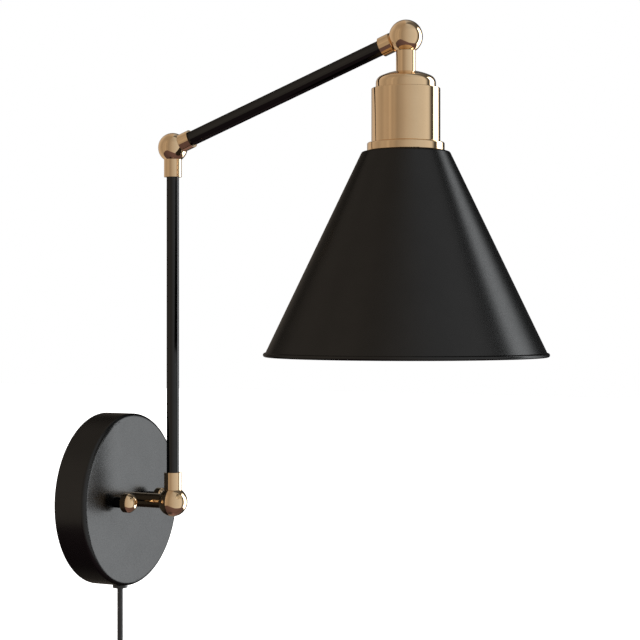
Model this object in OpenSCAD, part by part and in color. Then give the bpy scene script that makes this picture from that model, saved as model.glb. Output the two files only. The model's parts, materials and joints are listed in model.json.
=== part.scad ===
// Swing arm wall sconce with a cone shade, ball knuckles and a plug-in cord.
// The wall is the plane Y = 0, the lamp stands out of it towards -Y, and +Z is up.
// The origin is the centre of the round canopy, on the wall.

/* [Canopy] */
// Diameter of the round canopy
canopy_d = 130; // [110:1:150]
// Distance from the wall to the canopy's face
canopy_depth = 26.3; // [24:0.1:32]
// Thickness of the canopy's spun steel
canopy_wall = 1.2; // [0.8:0.1:2]
// Radius of the canopy's front edge
canopy_edge_r = 3.5; // [2:0.5:6]
// Distance of each cap knob from the canopy's centre
knob_offset = 22.7; // [20:0.1:26]
// Diameter of a cap knob
knob_d = 14.5; // [12:0.5:16]
// Distance between the two holes for the wall screws
wall_hole_spacing = 88.9; // [80:0.1:92]

/* [Arms] */
// Distance from the canopy's face to the centre of the wall ball
stub_len = 34.9; // [30:0.1:45]
// Diameter of the neck between the canopy and the wall ball
stub_d = 10.9; // [10.5:0.1:12]
// Distance between the centres of the wall ball and the elbow ball
lower_arm_len = 264.8; // [220:0.1:320]
// Distance between the centres of the elbow ball and the head ball
upper_arm_len = 202.5; // [180:0.1:240]
// Angle of the upper arm above the horizontal
upper_arm_rise = 20.2; // [20:0.1:35]
// Distance of the head ball's centre below the upper tube's axis
head_drop = 0.6; // [0:0.1:1]
// Outside diameter of the lower tube
lower_tube_d = 9.3; // [9:0.1:10]
// Outside diameter of the upper tube
upper_tube_d = 10.9; // [10:0.1:11]

/* [Ball knuckles] */
// Diameter of the wall ball and the elbow ball
ball_d = 22; // [21:0.5:24]
// Diameter of the head ball
head_ball_d = 23.7; // [23:0.1:26]
// Diameter of the collars on the lower tube
collar_d = 13.2; // [12.8:0.1:13.4]
// Diameter of the collar at the upper tube's outer end
head_collar_d = 14; // [13.4:0.1:14.4]
// Length of the lower tube's collars, from the ball's centre
lower_collar_len = 22; // [20:0.5:26]

/* [Lamp head] */
// Diameter of the stem under the head ball
stem_d = 13.7; // [13:0.1:14]
// Diameter of the domed cap
dome_d = 42; // [38:0.5:44]
// Diameter of the socket sleeve
sleeve_d = 48.1; // [46:0.1:54]
// Height of the socket sleeve
sleeve_h = 37.9; // [36:0.1:42]
// Diameter of the ring on the shade
ring_d = 54.1; // [52:0.1:60]
// Height of the ring on the shade
ring_h = 6.3; // [5:0.1:9]
// Radius of the lampholder's screw shell, for a screw base 26 mm wide
shell_r = 13.4; // [13.3:0.05:13.5]

/* [Shade] */
// Diameter of the shade's rolled rim
shade_d = 199.6; // [180:0.1:230]
// Diameter of the shade's flat top
shade_top_d = 61.4; // [60:0.1:70]
// Height of the shade
shade_h = 143.2; // [130:0.1:170]
// Thickness of the shade
shade_wall = 1; // [0.8:0.1:1.5]

/* [Cord] */
// Diameter of the round cord
cord_d = 4.4; // [4:0.1:4.6]
// Distance from the wall to the cord where it leaves the canopy
cord_out = 14.3; // [12:0.1:18]

/* [Hidden] */
$fn = 96;

// Colours
BLACK = "#262523";
BRASS = "#c9a273";
STEEL = "#a8acb0";
RUBBER = "#1d1d1d";
COPPER = "#b4703c";
NYLON = "#e8e4d8";
CERAMIC = "#f2efe8";

// Clearances
eps = 0.5;
seam = 0.15;
ball_gap = 0.12;
run_gap = 0.05;
seat_gap = 0.02;

// Centres of the three balls
wall_ball = [0, -(canopy_depth + stub_len), 0];
elbow = wall_ball + [0, 0, lower_arm_len];
head = elbow + upper_arm_len * [0, -cos(upper_arm_rise), sin(upper_arm_rise)]
    - head_drop * [0, sin(upper_arm_rise), cos(upper_arm_rise)];

// Threads are drawn at their outside radius
stud_r = 2;
pivot_r = 2;
tail_r = 4.95;
wire_r = 0.85;
wire_bore_r = 3.2;
wire_offset = 2.1;

// Inside the ball knuckles
cavity_r = 7.2;
boss_r = 4.5;
washer_half = 0.45;
pivot_end = 8;
pivot_seat = 7;
pivot_head_r = 3.4;
pivot_head_h = 2.3;
elbow_neck_d = 13.7;
elbow_neck_len = 17.4;
head_neck_len = 19.3;
head_waist_r = 5.8;
head_collar_from = 10.7;
tube_seat = 12.5;
tube_wall = 1;

// Wall bracket and what is fixed to it
bracket_t = 2;
bracket_w = 18;
bracket_len = 106;
wall_screw_r = 2.4;
nut_h = 3.2;
nut_r = 4;
stud_len = 39.5;
knob_neck_h = 6.7;
knob_neck_r = 4;
knob_side_h = 5;
knob_dome_h = 5;

// Tail of the neck, its washer and its nut
tail_len = 8.5;
stub_washer_h = 0.8;
locknut_h = 4;
locknut_r = 8;

// Lamp head, measured down from the centre of the head ball
stem_len = 24.2;
dome_apex = 23.6;
dome_top_r = 42;
dome_corner_r = 5.5;
dome_wall = 1.2;
dome_bottom = 44.4;
stem_tail = 13;
sleeve_top = 36.1;
sleeve_wall = 1.2;
ring_top = sleeve_top + sleeve_h;
shade_top = ring_top + ring_h;
shade_bottom = shade_top + shade_h;
holder_top = 33.4;
holder_r = 17;
holder_skirt_top = 65.4;
holder_skirt_r = 19.2;
holder_bottom = 89.4;
holder_bore_r = 14.1;
shell_top = 49.4;
shell_bottom = 75.4;
shell_wall = 0.6;
ring_nut_h = 6;
ring_nut_r = 24;
edge_r = 0.6;
ring_edge_r = 1;
bead_r = 1.5;

// Cord: where its pieces are
grommet_r = 5.7;
grommet_hole_r = 4;
grommet_h = 2.7;
clamp_z = -52;
sheath_end = -44;
connector_low = -36;
connector_high = -18;
connector_r = 2;
switch_z = -145;
switch_len = 54;
switch_w = 22;
switch_t = 14;
rocker_len = 13.4;
rocker_w = 8;
rocker_room = 2.2;
rocker_tilt = 7;
rocker_axis_depth = 3;
rocker_pin_r = 1;
rocker_pin_len = 12;
lug_w = 1.6;
lug_len = 5;
lug_from = 1;
switch_screw_at = 16;

// The coil holds the length that is put away: turns side by side, four layers deep
coil_centre = [-4.5, -12.4, -226];
coil_mid_r = 25.3;
coil_band = 15.6;
coil_thick = 17.6;
coil_corner_r = 2;

// Routes of the cord outside the coil
LEAD = [
    [0, -14.3, -44], [0, -14.3, -54], [0, -14.3, -64], [0, -14.3, -74],
    [0, -14.3, -84], [0, -14.3, -94], [0, -14.3, -104], [0, -14.3, -114], [0, -14.3, -119]
];
DROP = [
    [0, -14.3, -171], [0, -14.3, -177], [0.3, -15, -183], [1.7, -16.5, -188.5],
    [4.5, -18, -193.5], [8, -18.8, -197], [11, -19, -199.2]
];
TAIL = [
    [26.4, -5.8, -226], [26.4, -6.4, -231], [26.4, -8.4, -236.5], [26.4, -11, -242],
    [26.4, -12, -247], [26.4, -12, -252]
];

plug_x = 26.4;
plug_y = -12;
plug_top = -266;
plug_len = 30;
plug_w = 24;
plug_t = 16;
plug_nib = 20;
plug_nib_hole = 7;
blade_gap = 12.7;
blade_w = 6.3;
blade_t = 1.5;
blade_len = 17;

function unit(v) = v / norm(v);
function heading(p, i) = unit(p[min(i + 1, len(p) - 1)] - p[max(i - 1, 0)]);

// Points of one ring of the cord, square to its route
function cord_ring(p, i, sides) =
    let (t = heading(p, i), a = unit([0, 1, 0] - t[1] * t), b = cross(t, a))
    [for (k = [0 : sides - 1])
        p[i] + cord_d / 2 * (cos(360 * k / sides) * a + sin(360 * k / sides) * b)];

// Turns local +Z out of the wall and local +Y up
module out_of_wall() {
    rotate([90, 0, 0]) children();
}

// Puts its children at the head ball with local +Z pointing down the lamp head
module down_from_head() {
    translate(head) rotate([180, 0, 0]) children();
}

// Points local +Z from the elbow along the upper arm
module along_upper_arm() {
    translate(elbow) rotate([90 - upper_arm_rise, 0, 0]) children();
}

// A bar along X
module cross_bar(r, x1, x2) {
    translate([x1, 0, 0]) rotate([0, 90, 0]) cylinder(r = r, h = x2 - x1);
}

module tube(r_out, r_in, z1, z2) {
    translate([0, 0, z1]) difference() {
        cylinder(r = r_out, h = z2 - z1);
        translate([0, 0, -eps]) cylinder(r = r_in, h = z2 - z1 + 2 * eps);
    }
}

// A ring with rounded outer edges, from z1 to z2
module rounded_ring(r_out, r_in, z1, z2, edge) {
    rotate_extrude() difference() {
        union() {
            translate([0, z1 + edge]) square([r_out, z2 - z1 - 2 * edge]);
            translate([0, z1]) square([r_out - edge, z2 - z1]);
            for (z = [z1 + edge, z2 - edge]) translate([r_out - edge, z]) circle(r = edge, $fn = 48);
        }
        translate([0, z1 - eps]) square([r_in, z2 - z1 + 2 * eps]);
    }
}

module hex_nut(r, bore, z1, h) {
    translate([0, 0, z1]) difference() {
        cylinder(r = r, h = h, $fn = 6);
        translate([0, 0, -eps]) cylinder(r = bore, h = h + 2 * eps);
    }
}

// Near half of a ball knuckle, on the -X side of the seam. Its child is the neck, along +Z, whose
// far end holds a tube and whose base is hollowed so that the other half can turn inside it.
// The pivot screw threads into this half, or rests its head in it.
module knuckle_half(ball_r, neck_len, socket_r, socket_from, neck_y = 0, holds_head = false) {
    block = 3 * ball_r;
    difference() {
        union() {
            intersection() {
                sphere(r = ball_r);
                translate([-(block + seam) / 2, 0, 0]) cube(block, center = true);
            }
            translate([0, neck_y, 0]) children();
        }
        intersection() {
            sphere(r = ball_r + ball_gap);
            translate([(block - seam) / 2, 0, 0]) cube(block, center = true);
        }
        difference() {
            sphere(r = cavity_r);
            cross_bar(boss_r, -ball_r, ball_r);
        }
        cross_bar(boss_r + 0.1, -washer_half - seat_gap, washer_half + seat_gap);
        translate([0, neck_y, boss_r + 1]) cylinder(r = wire_bore_r, h = neck_len);
        translate([0, neck_y, socket_from]) cylinder(r = socket_r, h = neck_len);
        if (holds_head) {
            cross_bar(pivot_r + run_gap, -ball_r, eps);
            cross_bar(pivot_head_r + 0.3, -ball_r - eps, -pivot_seat);
        } else {
            cross_bar(pivot_r + seat_gap, -pivot_end - 0.2, eps);
        }
    }
}

// Far half of a ball knuckle, on the +X side, where the screw's head is
module far_knuckle_half(ball_r, neck_len, socket_r, socket_from) {
    mirror([1, 0, 0]) knuckle_half(ball_r, neck_len, socket_r, socket_from, holds_head = true) children();
}

// Countersunk screw across a knuckle, with a hexagon socket in its head
module pivot_screw() {
    difference() {
        union() {
            cross_bar(pivot_r, -pivot_end, pivot_seat + 0.1);
            cross_bar(pivot_head_r, pivot_seat + run_gap, pivot_seat + pivot_head_h);
        }
        translate([pivot_seat + pivot_head_h - 1.4, 0, 0]) rotate([0, 90, 0])
            cylinder(r = 1.5, h = 2, $fn = 6);
    }
}

module friction_washer() {
    difference() {
        cross_bar(boss_r - 0.3, -washer_half, washer_half);
        cross_bar(pivot_r + seat_gap, -1, 1);
    }
}

module wire_pair(z1, z2) {
    for (x = [-wire_offset, wire_offset]) translate([x, 0, z1]) cylinder(r = wire_r, h = z2 - z1);
}

// Section of the canopy, filled
module canopy_outline(inset, below) {
    r = canopy_d / 2 - inset;
    h = canopy_depth - inset;
    e = canopy_edge_r - inset;
    translate([0, -below]) square([r - e, h + below]);
    translate([0, -below]) square([r, h - e + below]);
    translate([r - e, h - e]) circle(r = e);
}

module canopy() {
    color(BLACK) out_of_wall() difference() {
        rotate_extrude() difference() {
            canopy_outline(0, 0);
            canopy_outline(canopy_wall, 1);
            translate([-canopy_d, -1]) square([canopy_d, canopy_depth + 2]);
        }
        cylinder(r = tail_r + seat_gap, h = canopy_depth + 1);
        for (x = [-knob_offset, knob_offset]) translate([x, 0, 0])
            cylinder(r = stud_r + 0.3, h = canopy_depth + 1);
        translate([0, -canopy_d / 2 + 6, cord_out]) rotate([90, 0, 0])
            cylinder(r = grommet_hole_r, h = 10);
    }
}

module wall_bracket() {
    color(STEEL) out_of_wall() difference() {
        union() {
            translate([-bracket_len / 2 + bracket_w / 2, -bracket_w / 2, 0])
                cube([bracket_len - bracket_w, bracket_w, bracket_t]);
            for (s = [-1, 1]) translate([s * (bracket_len - bracket_w) / 2, 0, 0])
                cylinder(d = bracket_w, h = bracket_t);
        }
        for (s = [-1, 1]) {
            translate([s * wall_hole_spacing / 2, 0, -1]) cylinder(r = wall_screw_r, h = bracket_t + 2);
            translate([s * knob_offset, 0, -1]) cylinder(r = stud_r + seat_gap, h = bracket_t + 2);
        }
    }
}

module canopy_studs() {
    color(STEEL) out_of_wall() for (x = [-knob_offset, knob_offset]) translate([x, 0, 0])
        cylinder(r = stud_r, h = stud_len);
}

module stud_nuts() {
    color(STEEL) out_of_wall() for (x = [-knob_offset, knob_offset]) translate([x, 0, 0])
        hex_nut(nut_r, stud_r + seat_gap, bracket_t, nut_h);
}

// Domed knobs that screw on the studs and hold the canopy
module cap_knobs() {
    r = knob_d / 2;
    z_side = canopy_depth + knob_neck_h;
    dome_r = (r * r + knob_dome_h * knob_dome_h) / (2 * knob_dome_h);
    z_top = z_side + knob_side_h;
    color(BRASS) out_of_wall() for (x = [-knob_offset, knob_offset]) translate([x, 0, 0]) difference() {
        union() {
            translate([0, 0, canopy_depth]) cylinder(r = knob_neck_r, h = knob_neck_h + 1);
            rotate_extrude() {
                translate([0, z_side]) square([r - 1, knob_side_h]);
                translate([0, z_side + 1]) square([r, knob_side_h - 1]);
                translate([r - 1, z_side + 1]) circle(r = 1, $fn = 48);
            }
            intersection() {
                translate([0, 0, z_top + knob_dome_h - dome_r]) sphere(r = dome_r);
                translate([0, 0, z_top]) cylinder(r = r + 1, h = knob_dome_h + 1);
            }
        }
        translate([0, 0, canopy_depth - 1])
            cylinder(r = stud_r + seat_gap, h = stud_len - canopy_depth + 1.5);
    }
}

// Fixed half of the wall ball, with the neck that stands on the canopy
module wall_knuckle() {
    color(BRASS) translate(wall_ball) rotate([-90, 0, 0]) difference() {
        union() {
            knuckle_half(ball_d / 2, stub_len, wire_bore_r, tube_seat) cylinder(d = stub_d, h = stub_len);
            translate([0, 0, stub_len - 2]) cylinder(r = tail_r, h = tail_len + 2);
        }
        translate([0, 0, boss_r + 1]) cylinder(r = wire_bore_r, h = stub_len + tail_len);
    }
}

module stub_washer() {
    color(STEEL) out_of_wall()
        tube(7.5, tail_r + seat_gap, canopy_depth - canopy_wall - stub_washer_h, canopy_depth - canopy_wall);
}

module stub_locknut() {
    z = canopy_depth - canopy_wall - stub_washer_h - locknut_h;
    color(STEEL) out_of_wall() hex_nut(locknut_r, tail_r + seat_gap, z, locknut_h);
}

module wall_pivot_screw() {
    color(STEEL) translate(wall_ball) pivot_screw();
}

module wall_friction_washer() {
    color(NYLON) translate(wall_ball) friction_washer();
}

// Tilting half of the wall ball; the lower tube turns in its collar
module lower_knuckle() {
    color(BRASS) translate(wall_ball)
        far_knuckle_half(ball_d / 2, lower_collar_len, lower_tube_d / 2 + run_gap, tube_seat)
        cylinder(d = collar_d, h = lower_collar_len);
}

module lower_tube() {
    color(BLACK) translate(wall_ball) tube(
        lower_tube_d / 2, lower_tube_d / 2 - tube_wall,
        tube_seat + run_gap, lower_arm_len - tube_seat - seat_gap
    );
}

module lower_arm_wires() {
    color(NYLON) translate(wall_ball) wire_pair(tube_seat + 1, lower_arm_len - tube_seat);
}

module elbow_base() {
    color(BRASS) translate(elbow) rotate([180, 0, 0])
        knuckle_half(ball_d / 2, lower_collar_len, lower_tube_d / 2 + seat_gap, tube_seat)
        cylinder(d = collar_d, h = lower_collar_len);
}

module elbow_pivot_screw() {
    color(STEEL) translate(elbow) pivot_screw();
}

module elbow_friction_washer() {
    color(NYLON) translate(elbow) friction_washer();
}

module elbow_upper() {
    color(BRASS) along_upper_arm()
        far_knuckle_half(ball_d / 2, elbow_neck_len, upper_tube_d / 2 + seat_gap, tube_seat)
        cylinder(d = elbow_neck_d, h = elbow_neck_len);
}

module upper_tube() {
    color(BLACK) along_upper_arm() tube(
        upper_tube_d / 2, upper_tube_d / 2 - tube_wall,
        tube_seat + seat_gap, upper_arm_len - tube_seat - 1 - seat_gap
    );
}

module upper_arm_wires() {
    color(NYLON) along_upper_arm() wire_pair(tube_seat, upper_arm_len - tube_seat);
}

module head_knuckle() {
    color(BRASS) translate(head) rotate([-90 - upper_arm_rise, 0, 0])
        knuckle_half(head_ball_d / 2, head_neck_len, upper_tube_d / 2 + seat_gap, tube_seat + 1, -head_drop) {
            cylinder(r = head_waist_r, h = head_neck_len);
            translate([0, 0, head_collar_from])
                cylinder(d = head_collar_d, h = head_neck_len - head_collar_from);
        }
}

module head_pivot_screw() {
    color(STEEL) translate(head) pivot_screw();
}

module head_friction_washer() {
    color(NYLON) translate(head) friction_washer();
}

// Tilting half of the head ball, with the stem that carries the lamp head
module head_stem() {
    color(BRASS) down_from_head() difference() {
        union() {
            far_knuckle_half(head_ball_d / 2, stem_len, wire_bore_r, tube_seat)
                cylinder(d = stem_d, h = stem_len);
            translate([0, 0, stem_len - 2]) cylinder(r = tail_r, h = stem_tail + 2);
        }
        translate([0, 0, boss_r + 1]) cylinder(r = wire_bore_r, h = stem_len + stem_tail);
    }
}

module head_wires() {
    color(NYLON) down_from_head() wire_pair(tube_seat, stem_len + stem_tail + 4);
}

// Section of the domed cap, filled: a flat arc, a tight corner arc and a straight side
module dome_outline(inset) {
    side_r = dome_d / 2;
    corner_x = side_r - dome_corner_r;
    reach = dome_top_r - dome_corner_r;
    arc_z = dome_apex + dome_top_r;
    corner_z = arc_z - sqrt(reach * reach - corner_x * corner_x);
    meet_x = corner_x * dome_top_r / reach;
    intersection() {
        translate([0, arc_z]) circle(r = dome_top_r - inset, $fn = 180);
        translate([0, dome_apex]) square([meet_x * (dome_top_r - inset) / dome_top_r, 12]);
    }
    translate([corner_x, corner_z]) circle(r = dome_corner_r - inset, $fn = 64);
    translate([0, corner_z]) square([side_r - inset, dome_bottom - corner_z + inset]);
}

module socket_dome() {
    color(BRASS) down_from_head() rotate_extrude() difference() {
        dome_outline(0);
        dome_outline(dome_wall);
        square([tail_r + seat_gap, dome_bottom]);
        translate([-1, 0]) square([dome_d, stem_len]);
        translate([-dome_d, 0]) square([dome_d, 100]);
    }
}

module dome_locknut() {
    color(STEEL) down_from_head()
        hex_nut(locknut_r, tail_r + seat_gap, stem_len + dome_wall + 0.2, locknut_h);
}

module socket_sleeve() {
    flange_r = dome_d / 2 + seat_gap;
    color(BRASS) down_from_head() difference() {
        rounded_ring(sleeve_d / 2, flange_r, sleeve_top, ring_top, edge_r);
        translate([0, 0, sleeve_top + sleeve_wall]) cylinder(r = sleeve_d / 2 - sleeve_wall, h = sleeve_h);
    }
}

module shade_ring() {
    color(BRASS) down_from_head()
        rounded_ring(ring_d / 2, holder_skirt_r + 0.4, ring_top, shade_top, ring_edge_r);
}

// Spun cone with a flat top and a rolled rim
module shade() {
    corner_r = 2;
    slope = atan2((shade_d - shade_top_d) / 2 - bead_r, shade_h - bead_r);
    corner_x = shade_top_d / 2 - corner_r * tan((90 - slope) / 2);
    rim_x = shade_d / 2 - bead_r;
    rim_z = shade_bottom - bead_r;
    side = [sin(slope), cos(slope)];
    out = [cos(slope), -sin(slope)];
    top = [corner_x, shade_top + corner_r];
    rim_out = [rim_x, rim_z] + 0.4 * out;
    start_out = top + corner_r * out;
    start_in = top + (corner_r - shade_wall) * out;
    color(BLACK) down_from_head() rotate_extrude($fn = 180) {
        translate([holder_skirt_r + 0.4, shade_top]) square([corner_x - holder_skirt_r - 0.4, shade_wall]);
        difference() {
            translate(top) circle(r = corner_r, $fn = 64);
            translate(top) circle(r = corner_r - shade_wall, $fn = 64);
            translate(top - [4 * corner_r, 2 * corner_r]) square([4 * corner_r, 4 * corner_r]);
            polygon([top, top + 4 * out, top + 4 * out + 4 * side, top + 4 * side, top + [-4, 4]]);
        }
        polygon([start_in, start_out, rim_out, rim_out - shade_wall * out]);
        translate([rim_x, rim_z]) circle(r = bead_r, $fn = 48);
    }
}

// Ring that screws on the lampholder's skirt and clamps the shade
module shade_ring_nut() {
    z1 = shade_top + shade_wall;
    color(BLACK) down_from_head() difference() {
        rounded_ring(ring_nut_r, holder_skirt_r + seat_gap, z1, z1 + ring_nut_h, edge_r);
        for (a = [0 : 30 : 330]) rotate([0, 0, a]) translate([ring_nut_r + 0.6, 0, z1 + 1.5])
            cylinder(r = 1.6, h = ring_nut_h);
    }
}

module lampholder() {
    color(CERAMIC) down_from_head() difference() {
        union() {
            translate([0, 0, holder_top]) cylinder(r = holder_r, h = holder_skirt_top - holder_top);
            translate([0, 0, holder_skirt_top])
                cylinder(r = holder_skirt_r, h = holder_bottom - holder_skirt_top);
        }
        translate([0, 0, shell_top - 1.5]) cylinder(r = holder_bore_r, h = holder_bottom);
        translate([0, 0, holder_top - eps]) cylinder(r = tail_r + seat_gap, h = 20);
    }
}

module screw_shell() {
    color(BRASS) down_from_head() {
        tube(shell_r + shell_wall, shell_r, shell_top, shell_bottom);
        tube(shell_r + shell_wall / 2, 7, shell_top, shell_top + shell_wall);
    }
}

module centre_contact() {
    color(COPPER) down_from_head() {
        translate([0, 0, shell_top - 1.4]) cylinder(r = 5.6, h = 1.2);
        translate([0, 0, shell_top - 0.2]) cylinder(r = 3.5, h = shell_wall + 0.2);
    }
}

// Two wires from the neck's bore down to the connectors
module lamp_conductors() {
    bend_r = 4;
    y_mouth = -cord_out - bend_r;
    color(NYLON) for (x = [-wire_offset, wire_offset]) {
        translate([x, -cord_out, connector_high]) cylinder(r = wire_r, h = -connector_high - bend_r);
        translate([x, y_mouth, -bend_r]) rotate([0, -90, 0]) rotate_extrude(angle = 90)
            translate([bend_r, 0]) circle(r = wire_r, $fn = 32);
        translate([x, y_mouth, 0]) rotate([90, 0, 0])
            cylinder(r = wire_r, h = -wall_ball[1] + y_mouth - tube_seat);
    }
}

module wire_connectors() {
    color(NYLON) for (x = [-wire_offset, wire_offset]) translate([x, -cord_out, connector_low]) difference() {
        cylinder(r = connector_r, h = connector_high - connector_low);
        for (z = [-eps, connector_high - connector_low - 4]) translate([0, 0, z])
            cylinder(r = wire_r + 0.5, h = 4 + eps);
    }
}

module cord_conductors() {
    rise = connector_low - sheath_end + 3;
    lean = atan2(wire_offset - 1, rise);
    color(COPPER) for (s = [-1, 1]) translate([s, -cord_out, sheath_end + 0.2]) rotate([0, s * lean, 0])
        cylinder(r = wire_r, h = rise);
}

// Clamp inside the canopy that takes the cord's pull
module cord_clamp() {
    reach = canopy_depth - canopy_wall - cord_out;
    color(NYLON) translate([0, -cord_out, clamp_z]) difference() {
        translate([-8, -reach, -3]) cube([16, reach + 5, 6]);
        translate([0, 0, -4]) cylinder(d = cord_d, h = 8);
    }
}

module cord_grommet() {
    wall_z = -canopy_d / 2;
    color(RUBBER) translate([0, -cord_out, 0]) difference() {
        union() {
            translate([0, 0, wall_z - grommet_h]) rounded_ring(grommet_r, 1, 0, grommet_h, edge_r);
            translate([0, 0, wall_z - 0.2]) cylinder(r = grommet_hole_r - seat_gap, h = 4);
        }
        translate([0, 0, wall_z - 5]) cylinder(d = cord_d, h = 12);
        out_of_wall_cut();
    }
}

// The curved outside of the canopy, which the grommet's flange sits against
module out_of_wall_cut() {
    difference() {
        rotate([90, 0, 0]) translate([0, 0, -10]) cylinder(d = canopy_d, h = 20);
        cylinder(r = grommet_hole_r - seat_gap, h = canopy_d, center = true);
    }
}

// A length of cord along a route
module cord_tube(route) {
    sides = 8;
    n = len(route);
    color(RUBBER) polyhedron(
        points = [for (i = [0 : n - 1]) each cord_ring(route, i, sides)],
        faces = concat(
            [[for (k = [0 : sides - 1]) k]],
            [[for (k = [sides - 1 : -1 : 0]) (n - 1) * sides + k]],
            [for (i = [0 : n - 2], k = [0 : sides - 1])
                let (a = i * sides + k, b = i * sides + (k + 1) % sides)
                [a, a + sides, b + sides, b]]
        )
    );
}

module cord_lead() {
    cord_tube(LEAD);
}

module cord_drop() {
    cord_tube(DROP);
}

module cord_tail() {
    cord_tube(TAIL);
}

module cord_coil() {
    color(RUBBER) translate(coil_centre) rotate([90, 0, 0]) rotate_extrude() {
        w = coil_band;
        h = coil_thick;
        c = coil_corner_r;
        translate([coil_mid_r - w / 2, -h / 2 + c]) square([w, h - 2 * c]);
        translate([coil_mid_r - w / 2 + c, -h / 2]) square([w - 2 * c, h]);
        for (x = [-w / 2 + c, w / 2 - c], z = [-h / 2 + c, h / 2 - c])
            translate([coil_mid_r + x, z]) circle(r = c, $fn = 32);
    }
}

// Strap round the coil's turns
module cord_tie() {
    strap_t = 1;
    strap_w = 4;
    inner = [coil_band + 0.6, coil_thick + 0.2, strap_w + 2];
    color(RUBBER) translate(coil_centre - [coil_mid_r, 0, 0]) difference() {
        cube([inner[0] + 2 * strap_t, inner[1] + 2 * strap_t, strap_w], center = true);
        cube(inner, center = true);
    }
}

// Outline of the switch, a long oval
module switch_outline(inset) {
    r = switch_w / 2 - inset;
    reach = switch_len / 2 - switch_w / 2;
    hull() for (s = [-1, 1]) translate([0, s * reach]) circle(r = r, $fn = 48);
}

module switch_shell(z1, z2) {
    translate([0, 0, z1]) linear_extrude(z2 - z1) switch_outline(0);
}

module at_switch() {
    translate([0, -cord_out, switch_z]) rotate([90, 0, 0]) children();
}

// Front half of the switch, with two lugs inside that hold the rocker's pin
module switch_front() {
    half_t = switch_t / 2;
    window_w = rocker_w + 0.6;
    color(RUBBER) at_switch() difference() {
        union() {
            difference() {
                switch_shell(0, half_t);
                translate([0, 0, -1]) linear_extrude(half_t - 0.5) switch_outline(1.5);
            }
            for (x = [-window_w / 2 - lug_w, window_w / 2]) translate([x, -lug_len / 2, lug_from])
                cube([lug_w, lug_len, half_t - 1 - lug_from]);
        }
        translate([0, 0, half_t / 2]) cube([window_w, rocker_len + rocker_room, switch_t], center = true);
        translate([0, 0, rocker_axis_depth]) cross_bar(rocker_pin_r + run_gap, -switch_w / 3, switch_w / 3);
        rotate([90, 0, 0]) cylinder(d = cord_d, h = switch_len + 2, center = true);
    }
}

module switch_back() {
    half_t = switch_t / 2;
    color(RUBBER) at_switch() difference() {
        switch_shell(-half_t, -0.1);
        translate([0, 0, 1.5 - half_t]) linear_extrude(half_t) switch_outline(1.5);
        rotate([90, 0, 0]) cylinder(d = cord_d, h = switch_len + 2, center = true);
        for (s = [-1, 1]) translate([0, s * switch_screw_at, -half_t - 1]) cylinder(r = 1.6, h = 4);
    }
}

// Rocker, pressed in at its lower end at rest, with the pin it rocks on
module switch_rocker() {
    rise = switch_t / 2 - rocker_axis_depth;
    rock_r = 12;
    color(STEEL) at_switch() translate([0, 0, rocker_axis_depth]) rotate([rocker_tilt, 0, 0]) union() {
        difference() {
            translate([-rocker_w / 2, -rocker_len / 2, 0.4]) cube([rocker_w, rocker_len, rise + 1]);
            translate([-rocker_w, 0, rise + 0.7 + rock_r]) rotate([0, 90, 0])
                cylinder(r = rock_r, h = 2 * rocker_w);
        }
        cross_bar(rocker_pin_r, -rocker_pin_len / 2, rocker_pin_len / 2);
    }
}

module switch_screws() {
    color(STEEL) at_switch() for (s = [-1, 1]) translate([0, s * switch_screw_at, -switch_t / 2])
        cylinder(r = 1.5, h = 1.5);
}

module plug_body() {
    z_mid = plug_top - plug_len / 2;
    color(RUBBER) translate([plug_x, plug_y, 0]) {
        translate([0, 0, plug_top - 1]) difference() {
            cylinder(r1 = 5.5, r2 = 3.4, h = plug_nib + 1);
            translate([0, 0, plug_nib + 1 - plug_nib_hole]) cylinder(d = cord_d, h = plug_nib);
        }
        translate([0, 0, z_mid]) hull() for (x = [-1, 1], y = [-1, 1])
            translate([x * (plug_w / 2 - 4), y * (plug_t / 2 - 4), -plug_len / 2])
                cylinder(r = 4, h = plug_len - 1, $fn = 24);
    }
}

module plug_blades() {
    z = plug_top - plug_len - blade_len;
    color(BRASS) for (s = [-1, 1])
        translate([plug_x + s * blade_gap / 2 - blade_t / 2, plug_y - blade_w / 2, z])
            cube([blade_t, blade_w, blade_len]);
}

canopy();
wall_bracket();
canopy_studs();
stud_nuts();
cap_knobs();
wall_knuckle();
stub_washer();
stub_locknut();
wall_pivot_screw();
wall_friction_washer();
lower_knuckle();
lower_tube();
lower_arm_wires();
elbow_base();
elbow_pivot_screw();
elbow_friction_washer();
elbow_upper();
upper_tube();
upper_arm_wires();
head_knuckle();
head_pivot_screw();
head_friction_washer();
head_stem();
head_wires();
socket_dome();
dome_locknut();
socket_sleeve();
shade_ring();
shade();
shade_ring_nut();
lampholder();
screw_shell();
centre_contact();
lamp_conductors();
wire_connectors();
cord_conductors();
cord_clamp();
cord_grommet();
cord_lead();
switch_front();
switch_back();
switch_rocker();
switch_screws();
cord_drop();
cord_coil();
cord_tie();
cord_tail();
plug_body();
plug_blades();
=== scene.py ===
"""Swing arm wall sconce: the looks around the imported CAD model. Units are metres."""

import json
import math

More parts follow.
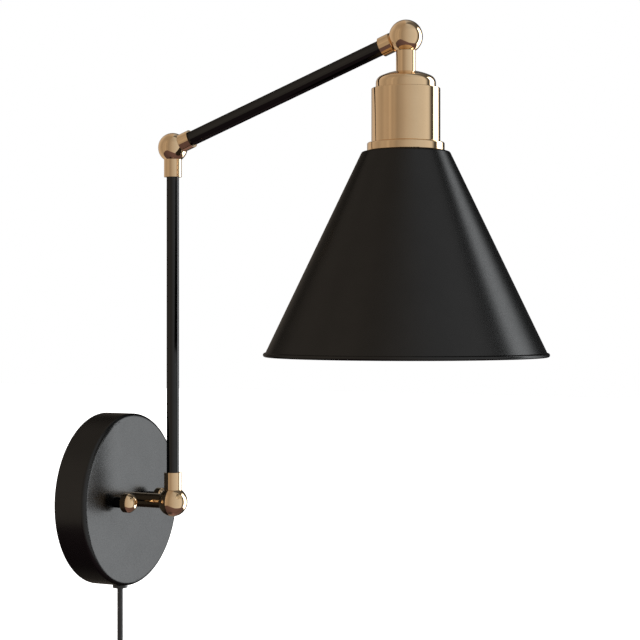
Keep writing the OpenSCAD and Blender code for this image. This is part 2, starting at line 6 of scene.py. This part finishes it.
import bmesh
import bpy
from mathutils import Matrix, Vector


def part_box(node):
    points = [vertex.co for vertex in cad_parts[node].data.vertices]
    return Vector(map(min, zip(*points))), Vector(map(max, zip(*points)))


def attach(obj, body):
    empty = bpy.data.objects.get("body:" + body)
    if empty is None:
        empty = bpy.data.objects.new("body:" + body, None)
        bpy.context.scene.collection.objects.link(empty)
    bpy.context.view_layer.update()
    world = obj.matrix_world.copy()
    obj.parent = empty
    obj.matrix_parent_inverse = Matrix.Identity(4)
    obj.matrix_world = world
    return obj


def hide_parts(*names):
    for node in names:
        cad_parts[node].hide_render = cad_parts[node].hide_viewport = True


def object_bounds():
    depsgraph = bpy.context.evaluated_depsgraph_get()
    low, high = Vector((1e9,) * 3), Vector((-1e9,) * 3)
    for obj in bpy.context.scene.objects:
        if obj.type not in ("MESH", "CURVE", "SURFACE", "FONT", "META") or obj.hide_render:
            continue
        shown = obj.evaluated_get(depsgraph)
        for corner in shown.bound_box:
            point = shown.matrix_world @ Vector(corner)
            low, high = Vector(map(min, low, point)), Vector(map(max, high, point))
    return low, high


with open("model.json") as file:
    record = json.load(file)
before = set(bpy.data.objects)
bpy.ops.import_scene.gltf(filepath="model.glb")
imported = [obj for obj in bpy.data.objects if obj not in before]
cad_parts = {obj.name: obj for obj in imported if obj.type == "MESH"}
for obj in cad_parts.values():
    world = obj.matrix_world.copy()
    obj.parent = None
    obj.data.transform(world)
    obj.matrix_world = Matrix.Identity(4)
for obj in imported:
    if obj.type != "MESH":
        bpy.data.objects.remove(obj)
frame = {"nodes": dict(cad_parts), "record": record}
CAD_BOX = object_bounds()
NODES = frame["nodes"]
MM = 0.001

# ---------------------------------------------------------------- camera

FRAME_SIDE = 640        # the frame is taken to be this many units wide and high
CAM_PLACE = (-1.0898, -0.7318, 0.1434)
CAM_TURN = -63.33       # degrees about Z from looking along +Y
FOCAL_LENGTH = 1704.0   # in the frame's units
HORIZON_SHIFT = -10 / FRAME_SIDE
SENSOR_MM = 36


def add_camera():
    data = bpy.data.cameras.new("camera")
    data.sensor_width = SENSOR_MM
    data.lens = SENSOR_MM * FOCAL_LENGTH / FRAME_SIDE
    data.shift_y = HORIZON_SHIFT
    data.clip_start = 0.01
    cam = bpy.data.objects.new("camera", data)
    cam.location = CAM_PLACE
    cam.rotation_euler = (math.radians(90), 0, math.radians(CAM_TURN))
    bpy.context.scene.collection.objects.link(cam)
    bpy.context.scene.camera = cam


# ---------------------------------------------------------------- node helpers

MIX_COLOUR_A, MIX_COLOUR_B, MIX_COLOUR_OUT = 6, 7, 2     # a Mix node's sockets in colour mode


class Shader:
    """Short names for building one node tree."""

    def __init__(self, tree):
        self.tree = tree
        self.nodes = tree.nodes

    def add(self, kind, **settings):
        node = self.nodes.new(kind)
        for key, value in settings.items():
            setattr(node, key, value)
        return node

    def link(self, source, target):
        self.tree.links.new(source, target)

    def put(self, target, value):
        """Links an output to an input, or sets the input's own value."""
        if isinstance(value, bpy.types.NodeSocket):
            self.link(value, target)
        elif value is not None:
            target.default_value = value

    def coords(self, scale=(1, 1, 1)):
        place = self.add("ShaderNodeTexCoord").outputs["Object"]
        if scale == (1, 1, 1):
            return place
        mapping = self.add("ShaderNodeMapping")
        mapping.inputs["Scale"].default_value = scale
        self.link(place, mapping.inputs["Vector"])
        return mapping.outputs["Vector"]

    def noise(self, scale, detail=3.0, rough=0.5, vector=None):
        node = self.add("ShaderNodeTexNoise")
        node.inputs["Scale"].default_value = scale
        node.inputs["Detail"].default_value = detail
        node.inputs["Roughness"].default_value = rough
        self.link(vector if vector is not None else self.coords(), node.inputs["Vector"])
        return node.outputs["Fac"]

    def cells(self, scale, feature="F1", vector=None):
        node = self.add("ShaderNodeTexVoronoi", feature=feature)
        node.inputs["Scale"].default_value = scale
        self.link(vector if vector is not None else self.coords(), node.inputs["Vector"])
        return node.outputs["Distance"]

    def math(self, operation, a, b=0.0, c=0.0):
        node = self.add("ShaderNodeMath", operation=operation)
        for socket, value in zip(node.inputs, (a, b, c)):
            self.put(socket, value)
        return node.outputs[0]

    def spread(self, value, low, high, out_low, out_high):
        """Maps low..high to out_low..out_high, clamped."""
        node = self.add("ShaderNodeMapRange")
        self.put(node.inputs["Value"], value)
        ends = {"From Min": low, "From Max": high, "To Min": out_low, "To Max": out_high}
        for name, number in ends.items():
            node.inputs[name].default_value = number
        return node.outputs["Result"]

    def blend(self, factor, a, b):
        node = self.add("ShaderNodeMix", data_type="RGBA")
        self.put(node.inputs["Factor"], factor)
        for socket, value in ((node.inputs[MIX_COLOUR_A], a), (node.inputs[MIX_COLOUR_B], b)):
            self.put(socket, (*value, 1) if isinstance(value, tuple) else value)
        return node.outputs[MIX_COLOUR_OUT]

    def bump(self, height, distance, strength=1.0, normal=None):
        node = self.add("ShaderNodeBump")
        node.inputs["Strength"].default_value = strength
        node.inputs["Distance"].default_value = distance
        self.link(height, node.inputs["Height"])
        self.put(node.inputs["Normal"], normal)
        return node.outputs["Normal"]


def new_material(name):
    """A material, the helper for its nodes, and its Principled shader."""
    material = bpy.data.materials.new(name)
    material.use_nodes = True
    shader = Shader(material.node_tree)
    principled = shader.nodes["Principled BSDF"]
    return material, shader, principled


def soft_edges(shader, radius):
    """Normals that round off every sharp edge by a small radius."""
    node = shader.add("ShaderNodeBevel")
    node.samples = 4
    node.inputs["Radius"].default_value = radius
    return node.outputs["Normal"]


# ---------------------------------------------------------------- materials

BLACK_TONES = (0.036, 0.036, 0.036), (0.050, 0.050, 0.050)
GRAZING = 0.41      # reflectance of the black coat at grazing angles, as a share of bare metal's


def powder_coat(name, dark, light, rough=(0.22, 0.31), grain=0.00003, metallic=1.0):
    """Satin powder coat: fine orange peel, slight mottling, dust-fine speckle in the gloss."""
    material, s, p = new_material(name)
    mottle = s.noise(scale=60, detail=4, rough=0.6)
    speck = s.noise(scale=1400, detail=2, rough=0.7)
    tone = s.math("ADD", s.math("MULTIPLY", mottle, 0.5), s.math("MULTIPLY", speck, 0.5))
    s.link(s.blend(tone, dark, light), p.inputs["Base Color"])
    gloss = s.noise(scale=900, detail=4, rough=0.7)
    s.link(s.spread(gloss, 0.3, 0.7, *rough), p.inputs["Roughness"])
    peel = s.noise(scale=700, detail=3, rough=0.6)
    fine = s.cells(2200, "SMOOTH_F1")
    normal = s.bump(peel, distance=grain * 1.6, strength=0.5, normal=soft_edges(s, radius=0.0004))
    s.link(s.bump(fine, distance=grain, strength=0.35, normal=normal), p.inputs["Normal"])
    p.inputs["Metallic"].default_value = metallic
    if metallic:
        p.inputs["Specular Tint"].default_value = (GRAZING, GRAZING, GRAZING, 1)
    return material


def polished_brass(name, base, shade, rough=(0.045, 0.1)):
    """Lacquered polished brass: faint cloudiness, hairline polishing marks and slight waves."""
    material, s, p = new_material(name)
    cloud = s.noise(scale=55, detail=4, rough=0.55)
    s.link(s.blend(s.spread(cloud, 0.35, 0.7, 0, 1), base, shade), p.inputs["Base Color"])
    smear = s.noise(scale=170, detail=5, rough=0.6)
    s.link(s.spread(smear, 0.3, 0.75, *rough), p.inputs["Roughness"])
    hair = s.noise(scale=900, detail=3, rough=0.7, vector=s.coords((1, 1, 0.08)))
    wave = s.bump(s.noise(scale=240, detail=2, rough=0.5), distance=0.000006, strength=0.35)
    s.link(s.bump(hair, distance=0.000002, strength=0.4, normal=wave), p.inputs["Normal"])
    p.inputs["Metallic"].default_value = 1.0
    p.inputs["Coat Weight"].default_value = 0.25
    p.inputs["Coat Roughness"].default_value = 0.04
    return material


def plain_metal(name, base, shade, rough, stretch):
    """Zinc plate or stamped brass: grain along one direction, blotchy plating."""
    material, s, p = new_material(name)
    blotch = s.noise(scale=120, detail=5, rough=0.7)
    s.link(s.blend(s.spread(blotch, 0.3, 0.7, 0, 1), base, shade), p.inputs["Base Color"])
    grain = s.noise(scale=900, detail=4, rough=0.6, vector=s.coords(stretch))
    s.link(s.spread(grain, 0.25, 0.75, *rough), p.inputs["Roughness"])
    s.link(s.bump(grain, distance=0.00001, strength=0.5), p.inputs["Normal"])
    p.inputs["Metallic"].default_value = 1.0
    return material


def moulded(name, base, shade, rough, texture=0.00002, scale=2200):
    """Moulded plastic or rubber with a spark-eroded texture."""
    material, s, p = new_material(name)
    cloud = s.noise(scale=90, detail=4, rough=0.6)
    s.link(s.blend(s.spread(cloud, 0.3, 0.7, 0, 1), base, shade), p.inputs["Base Color"])
    gloss = s.noise(scale=300, detail=4, rough=0.6)
    s.link(s.spread(gloss, 0.3, 0.7, *rough), p.inputs["Roughness"])
    wave = s.bump(s.noise(scale=500), distance=texture, strength=0.3, normal=soft_edges(s, radius=0.0006))
    eroded = s.cells(scale, "SMOOTH_F1")
    s.link(s.bump(eroded, distance=texture, strength=0.6, normal=wave), p.inputs["Normal"])
    return material


def glazed(name, base, shade):
    """Glazed porcelain."""
    material, s, p = new_material(name)
    cloud = s.noise(scale=130, detail=5, rough=0.6)
    s.link(s.blend(s.spread(cloud, 0.35, 0.7, 0, 1), base, shade), p.inputs["Base Color"])
    gloss = s.noise(scale=400, detail=3, rough=0.5)
    s.link(s.spread(gloss, 0.3, 0.7, 0.14, 0.24), p.inputs["Roughness"])
    wave = s.noise(scale=220, detail=2, rough=0.4)
    s.link(s.bump(wave, distance=0.00003, strength=0.3), p.inputs["Normal"])
    p.inputs["Coat Weight"].default_value = 0.5
    p.inputs["Coat Roughness"].default_value = 0.08
    return material


# For each name: the recipe, its two tones, and what differs from the recipe's own values
RECIPES = {
    "black_powder_coat": (powder_coat, BLACK_TONES, {}),
    "tube_coat": (powder_coat, BLACK_TONES, dict(rough=(0.10, 0.17), grain=0.000015)),
    "shade_inside": (powder_coat, ((0.74, 0.73, 0.69), (0.80, 0.79, 0.76)),
                     dict(rough=(0.42, 0.52), metallic=0.0)),
    "polished_brass": (polished_brass, ((0.825, 0.600, 0.362), (0.79, 0.565, 0.335)), {}),
    "zinc_steel": (plain_metal, ((0.56, 0.57, 0.59), (0.46, 0.47, 0.50)),
                   dict(rough=(0.28, 0.42), stretch=(1, 4, 4))),
    "nylon": (moulded, ((0.74, 0.72, 0.64), (0.68, 0.66, 0.58)), dict(rough=(0.42, 0.55))),
    "wire_insulation": (moulded, ((0.74, 0.73, 0.70), (0.66, 0.65, 0.61)), dict(rough=(0.35, 0.5))),
    "cord_sheath": (moulded, ((0.020, 0.020, 0.021), (0.014, 0.014, 0.015)),
                    dict(rough=(0.42, 0.55), texture=0.00001, scale=3000)),
    "black_plastic": (moulded, ((0.020, 0.020, 0.021), (0.016, 0.016, 0.017)),
                      dict(rough=(0.36, 0.5), scale=2400)),
    "bare_brass": (plain_metal, ((0.78, 0.60, 0.33), (0.69, 0.51, 0.26)),
                   dict(rough=(0.2, 0.34), stretch=(6, 1, 1))),
    "ceramic": (glazed, ((0.80, 0.78, 0.73), (0.74, 0.72, 0.66)), {}),
}
MATERIALS = {name: recipe(name, *tones, **rest) for name, (recipe, tones, rest) in RECIPES.items()}


# ---------------------------------------------------------------- cord

CORD_D = 4.4 * MM
# The route's points and the coil's sizes are in millimetres, the same as in the CAD
LEAD = [
    (0, -14.3, -44), (0, -14.3, -54), (0, -14.3, -64), (0, -14.3, -74),
    (0, -14.3, -84), (0, -14.3, -94), (0, -14.3, -104), (0, -14.3, -114), (0, -14.3, -119),
]
DROP = [
    (0, -14.3, -171), (0, -14.3, -177), (0.3, -15, -183), (1.7, -16.5, -188.5),
    (4.5, -18, -193.5), (8, -18.8, -197),
]
TAIL = [
    (26.4, -6.4, -231), (26.4, -8.4, -236.5), (26.4, -11, -242), (26.4, -12, -247), (26.4, -12, -252),
]
COIL_CENTRE = (-4.5, -12.4, -226)
COIL_MID_R = 25.3
COIL_START = 60          # degrees
COIL_TURNS = 10 + 1 / 6
COIL_LAYERS = 4
CORD_PITCH = 4.4
TURN_STEPS = 40
LAYER_STEP = 0.12        # share of a layer's turns over which the cord moves to the next layer
CURVE_STEPS = 5          # points drawn for each stretch between two points of the route


def coil_points():
    """The coil's turns: each layer is a flat spiral, in and out by turns, beside the one before."""
    half_band = CORD_PITCH * COIL_TURNS / COIL_LAYERS / 2
    inner, outer = COIL_MID_R - half_band, COIL_MID_R + half_band
    first_layer = COIL_CENTRE[1] - CORD_PITCH * (COIL_LAYERS - 1) / 2
    steps = round(COIL_TURNS * TURN_STEPS)
    points = []
    for i in range(steps + 1):
        turned = COIL_TURNS * i / steps
        leg = turned * COIL_LAYERS / COIL_TURNS
        along = leg % 2
        radius = outer - (outer - inner) * (along if along <= 1 else 2 - along)
        layer = 0
        for turning_point in range(1, COIL_LAYERS):
            t = min(max((leg - turning_point) / LAYER_STEP + 0.5, 0), 1)
            layer += t * t * (3 - 2 * t)
        angle = math.radians(COIL_START - 360 * turned)
        points.append((
            COIL_CENTRE[0] + radius * math.cos(angle),
            first_layer + CORD_PITCH * layer,
            COIL_CENTRE[2] + radius * math.sin(angle),
        ))
    return points


def smooth_route(points):
    """Points along a Catmull-Rom curve through the given ones."""
    ends = [points[0], *points, points[-1]]
    out = []
    for a, b, c, d in zip(ends, ends[1:], ends[2:], ends[3:]):
        a, b, c, d = (Vector(v) for v in (a, b, c, d))
        for i in range(CURVE_STEPS):
            t = i / CURVE_STEPS
            out.append(0.5 * (2 * b + (c - a) * t + (2 * a - 5 * b + 4 * c - d) * t * t
                              + (3 * b - a - 3 * c + d) * t ** 3))
    return [*out, Vector(points[-1])]


def new_piece(name, mesh, material, node):
    """Puts a mesh in the scene in the place of a CAD node on the wall's body."""
    mesh.materials.append(MATERIALS[material])
    for polygon in mesh.polygons:
        polygon.use_smooth = True
    piece = bpy.data.objects.new(name, mesh)
    bpy.context.scene.collection.objects.link(piece)
    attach(piece, "wall_base")
    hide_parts(node)
    return piece


def skin(name, rings, closed_path=False):
    """A mesh through rings of points, with its ends filled unless the path is closed."""
    mesh = bmesh.new()
    rows = [[mesh.verts.new(point) for point in ring] for ring in rings]
    pairs = list(zip(rows, rows[1:]))
    if closed_path:
        pairs.append((rows[-1], rows[0]))
    count = len(rows[0])
    for a, b in pairs:
        for k in range(count):
            mesh.faces.new((a[k], a[(k + 1) % count], b[(k + 1) % count], b[k]))
    if not closed_path:
        mesh.faces.new(rows[0])
        mesh.faces.new(rows[-1])
    bmesh.ops.recalc_face_normals(mesh, faces=mesh.faces)
    data = bpy.data.meshes.new(name)
    mesh.to_mesh(data)
    mesh.free()
    return data


def oval(half_x, half_y, power, steps=48):
    """Points of a rounded rectangle: the higher the power, the squarer it is."""
    points = []
    for k in range(steps):
        angle = 2 * math.pi * k / steps
        c, d = math.cos(angle), math.sin(angle)
        points.append((half_x * math.copysign(abs(c) ** (2 / power), c),
                       half_y * math.copysign(abs(d) ** (2 / power), d)))
    return points


def make_plug():
    """Moulded plug: a body with grip ribs, shoulders and a tapered strain relief cut into segments."""
    low, high = (Vector(corner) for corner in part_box("plug_body"))
    centre = (low + high) / 2
    half_x, half_y = (high.x - low.x) / 2, (high.y - low.y) / 2
    ribs, first_rib, rib_pitch = 7, 0.27, 0.07      # places as shares of the body's height
    relief, segments = 20 * MM, 7
    relief_base_r, relief_tip_r, groove = 5.5 * MM, 3.4 * MM, 0.55 * MM
    collar_r, collar_round = 3.3 * MM, 0.4 * MM
    shoulder = high.z - relief
    rings = []

    def ring(z, half_x, half_y, power=2):
        rings.append([(centre.x + x, centre.y + y, z) for x, y in oval(half_x, half_y, power)])

    # share of the body's height, share of its width, squareness
    profile = [
        (0, 0.90, 5), (0.02, 0.955, 5), (0.05, 0.99, 5), (0.08, 1, 5), (0.14, 1, 5), (0.16, 0.975, 5),
        (0.18, 0.975, 5), (0.20, 1, 5),
    ]
    for rib in range(ribs):
        base = first_rib + rib_pitch * rib
        profile += [
            (base, 0.97, 5), (base + 0.012, 0.93, 5), (base + 0.04, 0.93, 5), (base + 0.052, 0.97, 5),
        ]
    profile += [(0.80, 0.96, 4.6), (0.86, 0.91, 4.2), (0.91, 0.82, 3.6), (0.95, 0.70, 3), (0.98, 0.58, 2.6)]
    for share, width, power in profile:
        ring(low.z + share * (shoulder - low.z), half_x * width, half_y * width, power)

    for i in range(segments):
        # share of the segment's height, whether the groove is cut there
        for share, cut in ((0, 0), (0.10, 0), (0.58, 0), (0.66, 1), (0.92, 1)):
            along = (i + share) / segments
            radius = relief_base_r + (relief_tip_r - relief_base_r) * along - groove * cut
            ring(shoulder + relief * along, radius, radius)
    ring(high.z - 0.3 * MM, collar_r, collar_r)
    ring(high.z, collar_r - collar_round, collar_r - collar_round)
    return new_piece("plug", skin("plug", rings), "black_plastic", "plug_body")


def make_tie():
    """Strap round the coil's turns, with a serrated back and a small locking head."""
    low, high = (Vector(corner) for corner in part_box("cord_tie"))
    centre = (low + high) / 2
    corner, thick = 3.4 * MM, 1 * MM
    half_x = (high.x - low.x) / 2 - thick / 2
    half_y = (high.y - low.y) / 2 - thick / 2
    width = high.z - low.z
    notch = 0.12        # depth of a serration, as a share of the strap's thickness
    corner_steps, side_steps = 8, 12
    corners = [(1, 1), (-1, 1), (-1, -1), (1, -1)]

    # The strap's middle line: each point, and the direction out of the loop there
    path = []
    for quarter, (sx, sy) in enumerate(corners):
        cx, cy = sx * (half_x - corner), sy * (half_y - corner)
        for k in range(corner_steps + 1):
            angle = math.radians(90 * quarter + 90 * k / corner_steps)
            out = Vector((math.cos(angle), math.sin(angle)))
            path.append((Vector((cx, cy)) + corner * out, out))
        nx, ny = corners[(quarter + 1) % 4]
        start = path[-1][0]
        end = Vector((nx * (half_x - corner), ny * (half_y - corner))) + corner * out
        path += [(start.lerp(end, k / side_steps), out) for k in range(1, side_steps)]

    # Across the strap and out of it, as shares of its width and thickness
    section = [
        (-0.5, -0.35), (-0.42, -0.5), (0.42, -0.5), (0.5, -0.35),
        (0.5, 0.3), (0.4, 0.5), (-0.4, 0.5), (-0.5, 0.3),
    ]
    rings = []
    for i, (place, out) in enumerate(path):
        ring = []
        for across, up in section:
            is_back = up > 0 and abs(across) < 0.45
            lift = up - (notch if is_back and i % 2 else 0)
            spot = place + out * lift * thick
            ring.append((centre.x + spot.x, centre.y + spot.y, centre.z + across * width))
        rings.append(ring)
    data = skin("tie", rings, closed_path=True)

    head_size = (6 * MM, 3.6 * MM, width + 1.4 * MM)
    head_out = 0.9 * MM
    mesh = bmesh.new()
    mesh.from_mesh(data)
    head = bmesh.ops.create_cube(mesh, size=1)["verts"]
    bmesh.ops.scale(mesh, vec=head_size, verts=head)
    bmesh.ops.translate(mesh, vec=(centre.x, low.y - head_out, centre.z), verts=head)
    edges = list({e for v in head for e in v.link_edges})
    bmesh.ops.bevel(mesh, geom=edges, offset=0.5 * MM, segments=3, affect="EDGES", profile=0.5)
    mesh.to_mesh(data)
    mesh.free()
    return new_piece("tie", data, "black_plastic", "cord_tie")


def make_cord():
    coil = coil_points()
    overlap = CURVE_STEPS + 1       # each curve runs one step into the coil, so that they join smoothly
    lead_in = smooth_route([*LEAD, *DROP, coil[0], coil[1]])[:-overlap]
    tail = smooth_route([coil[-2], coil[-1], *TAIL])[overlap:]
    route = [Vector(p) * MM for p in [*lead_in, *coil, *tail]]
    data = bpy.data.curves.new("cord", "CURVE")
    data.dimensions = "3D"
    spline = data.splines.new("POLY")
    spline.points.add(len(route) - 1)
    for point, place in zip(spline.points, route):
        point.co = (*place, 1)
    data.bevel_depth = CORD_D / 2
    data.bevel_resolution = 5
    data.use_fill_caps = True
    data.materials.append(MATERIALS["cord_sheath"])
    cord = bpy.data.objects.new("cord", data)
    bpy.context.scene.collection.objects.link(cord)
    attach(cord, "wall_base")
    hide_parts("cord_lead", "cord_drop", "cord_coil", "cord_tail")
    make_plug()
    make_tie()


# ---------------------------------------------------------------- light, background and floor

# Degrees to the right of the camera's side, and how bright the studio's walls are there
WALLS = [
    (-180, 0.20), (-168, 0.26), (-156, 0.5), (-140, 0.64), (-120, 0.58), (-105, 0.48), (-90, 0.41),
    (-78, 0.50), (-64, 0.47), (-57, 0.58), (-50, 0.43), (-42, 0.45), (-31, 0.36), (-14, 0.45),
    (0, 0.54), (30, 0.63), (60, 0.72), (72, 0.78), (80, 0.72), (86, 0.36), (91, 0.09),
    (157, 0.07), (170, 0.07), (177, 0.16), (180, 0.2),
]
# The same for the ceiling
CEILING = [
    (-180, 0.57), (-150, 0.50), (-120, 0.42), (-90, 0.39), (-40, 0.38), (-15, 0.43), (0, 0.48),
    (30, 0.55), (60, 0.58), (82, 0.50), (94, 0.14), (140, 0.14), (160, 0.40), (180, 0.57),
]
# The same for the dark floor
FLOOR = [
    (-180, 0.26), (-158, 0.16), (-138, 0.08), (-90, 0.09), (-50, 0.12), (0, 0.16), (60, 0.16),
    (110, 0.13), (150, 0.16), (180, 0.26),
]
# Degrees to the right, and how many degrees below the horizon the dark floor starts
FLOOR_EDGE = [
    (-180, 50), (-140, 50), (-118, 42), (-98, 32), (-78, 28), (-60, 23), (-42, 22), (-30, 28), (-18, 34),
    (0, 41), (24, 47), (48, 46), (64, 43), (84, 37), (104, 35), (140, 42), (180, 50),
]
WARM_TINT = (1.0, 0.85, 0.70)   # on the left, fading to neutral between these two places
WARM_UNTIL, NEUTRAL_FROM = -40, 30
FLOOR_TINT = (1, 0.66, 0.71)
CEILING_FADE = (36, 54)         # degrees up between which the walls turn into the ceiling
FLOOR_FADE = 1
SOFTBOX = (4.9, 5.05, 5.15)
# The softbox's four sides, each fading between two angles; its right side leans by the slant
SOFTBOX_LEFT, SOFTBOX_RIGHT, SOFTBOX_TOP, SOFTBOX_FOOT = (101, 106), (132, 140), (33, 38), (-32, -28)
SOFTBOX_SLANT = 0.3
FILL = (0.95, 0.93, 0.90)       # what matt surfaces see all round
MOST_DEGREES = 90.0             # a ramp's colours go from 0 to 1, so they hold angles divided by this


def add_world():
    """A white studio: to the camera the background is plain white, and the object sees soft panels."""
    world = bpy.data.worlds.new("studio")
    world.use_nodes = True
    bpy.context.scene.world = world
    s = Shader(world.node_tree)
    s.nodes.clear()
    direction = s.add("ShaderNodeTexCoord").outputs["Generated"]
    turn = math.radians(CAM_TURN)
    ahead = Vector((-math.sin(turn), math.cos(turn), 0))
    right = Vector((ahead.y, -ahead.x, 0))
    up = Vector((0, 0, 1))

    def along(axis):
        node = s.add("ShaderNodeVectorMath", operation="DOT_PRODUCT")
        s.link(direction, node.inputs[0])
        node.inputs[1].default_value = axis
        return node.outputs["Value"]

    def to_degrees(radians):
        return s.math("MULTIPLY", radians, 180 / math.pi)

    def ramp(stops, colour):
        """A colour for each direction round the object, from stops in degrees to the right."""
        node = s.add("ShaderNodeValToRGB")
        s.link(around, node.inputs["Fac"])
        elements = node.color_ramp.elements
        while len(elements) < len(stops):
            elements.new(0.5)
        for element, (degrees, amount) in zip(elements, stops):
            element.position = (degrees + 180) / 360
            element.color = (*colour(degrees, amount), 1)
        return node.outputs["Color"]

    def warm(degrees, amount):
        t = min(max((degrees - WARM_UNTIL) / (NEUTRAL_FROM - WARM_UNTIL), 0), 1)
        return [amount * (c + (1 - c) * t) for c in WARM_TINT]

    def mauve(degrees, amount):
        return [amount * c for c in FLOOR_TINT]

    def angle(degrees, amount):
        return [amount / MOST_DEGREES] * 3

    azimuth = to_degrees(s.math("ARCTAN2", along(right), along(-ahead)))
    elevation = to_degrees(s.math("ARCSINE", along(up)))
    around = s.spread(azimuth, -180, 180, 0, 1)

    light = s.blend(s.spread(elevation, *CEILING_FADE, 0, 1), ramp(WALLS, warm), ramp(CEILING, warm))
    floor_edge = s.math("MULTIPLY", ramp(FLOOR_EDGE, angle), MOST_DEGREES)
    above_floor = s.math("ADD", elevation, floor_edge)
    light = s.blend(s.spread(above_floor, -FLOOR_FADE, FLOOR_FADE, 0, 1), ramp(FLOOR, mauve), light)

    slanted = s.math("MULTIPLY_ADD", elevation, SOFTBOX_SLANT, azimuth)
    box = s.spread(azimuth, *SOFTBOX_LEFT, 0, 1)
    box = s.math("MULTIPLY", box, s.spread(slanted, *SOFTBOX_RIGHT, 1, 0))
    box = s.math("MULTIPLY", box, s.spread(elevation, *SOFTBOX_TOP, 1, 0))
    box = s.math("MULTIPLY", box, s.spread(elevation, *SOFTBOX_FOOT, 0, 1))
    light = s.blend(box, light, SOFTBOX)

    path = s.add("ShaderNodeLightPath")
    light = s.blend(path.outputs["Is Diffuse Ray"], light, FILL)
    studio = s.add("ShaderNodeBackground")
    s.link(light, studio.inputs["Color"])
    plain = s.add("ShaderNodeBackground")
    plain.inputs["Color"].default_value = (1, 1, 1, 1)
    mix = s.add("ShaderNodeMixShader")
    s.link(path.outputs["Is Camera Ray"], mix.inputs["Fac"])
    s.link(studio.outputs[0], mix.inputs[1])
    s.link(plain.outputs[0], mix.inputs[2])
    output = s.add("ShaderNodeOutputWorld")
    s.link(mix.outputs[0], output.inputs["Surface"])


def add_floor():
    """A plain white floor, well below the lamp."""
    half_side = 12
    z = CAD_BOX[0].z - 0.25
    corners = [(x * half_side, y * half_side, z) for x, y in ((-1, -1), (1, -1), (1, 1), (-1, 1))]
    mesh = bpy.data.meshes.new("floor")
    mesh.from_pydata(corners, [], [(0, 1, 2, 3)])
    floor = bpy.data.objects.new("floor", mesh)
    bpy.context.scene.collection.objects.link(floor)
    material, _, p = new_material("floor_white")
    p.inputs["Base Color"].default_value = (0.9, 0.9, 0.9, 1)
    p.inputs["Roughness"].default_value = 0.9
    p.inputs["Emission Color"].default_value = (1, 1, 1, 1)
    p.inputs["Emission Strength"].default_value = 0.9
    mesh.materials.append(material)
    floor.visible_diffuse = False
    floor.visible_glossy = False
    floor.visible_shadow = False


def set_colour_management():
    view = bpy.context.scene.view_settings
    view.view_transform = "Standard"
    view.look = "None"
    view.exposure = 0
    view.gamma = 1


# ---------------------------------------------------------------- CAD nodes

def dress_cad_nodes():
    """Gives each CAD node its slot's material; the two tubes have a glossier black."""
    slots = {row["node"]: row["material_slot"] for row in frame["record"]["subparts"]}
    for name, obj in NODES.items():
        obj.data.materials.clear()
        is_tube = name in ("lower_tube", "upper_tube")
        obj.data.materials.append(MATERIALS["tube_coat" if is_tube else slots[name]])


def paint_faces(name, material, wanted):
    """Gives a second material to the faces of a CAD node that the test picks by centre and normal."""
    data = NODES[name].data
    data.materials.append(MATERIALS[material])
    index = len(data.materials) - 1
    for polygon in data.polygons:
        if wanted(polygon.center, polygon.normal):
            polygon.material_index = index


def paint_shade_inside():
    """The shade is white inside, down to its rolled rim."""
    low, high = (Vector(corner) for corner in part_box("shade"))
    axis = (low + high) / 2
    bead = 3.2 * MM
    top_plate = 2.5 * MM
    faces_in_below, faces_down_below = -0.2, -0.5      # parts of the normal along out and up

    def inside(centre, normal):
        out = Vector((centre.x - axis.x, centre.y - axis.y, 0))
        faces_in = out.length > 0 and normal.dot(out.normalized()) < faces_in_below
        under_top = centre.z > high.z - top_plate and normal.z < faces_down_below
        return centre.z > low.z + bead and (faces_in or under_top)

    paint_faces("shade", "shade_inside", inside)


def paint_knob_neck_shade():
    """The cap knobs' necks are painted black as spacers; the black is partly painted shade for the shadow
    round each knob.
    """
    low, high = (Vector(corner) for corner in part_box("cap_knobs"))
    face = -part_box("canopy")[0][1]
    neck_h = 6.7 * MM       # knob_neck_h in the CAD
    slack = 0.2 * MM
    knob_r = (high.z - low.z) / 2
    neck_r = 0.62 * knob_r
    offset = (high.x - low.x) / 2 - knob_r

    def neck(centre, normal):
        radius = math.hypot(abs(centre.x) - offset, centre.z)
        return centre.y > -(face + neck_h + slack) and radius < neck_r

    # painted shade: the neck faces get the black coat to stand in for the shadow that falls round each knob
    paint_faces("cap_knobs", "black_powder_coat", neck)


add_camera()
make_cord()
dress_cad_nodes()
paint_shade_inside()
paint_knob_neck_shade()
add_world()
add_floor()
set_colour_management()
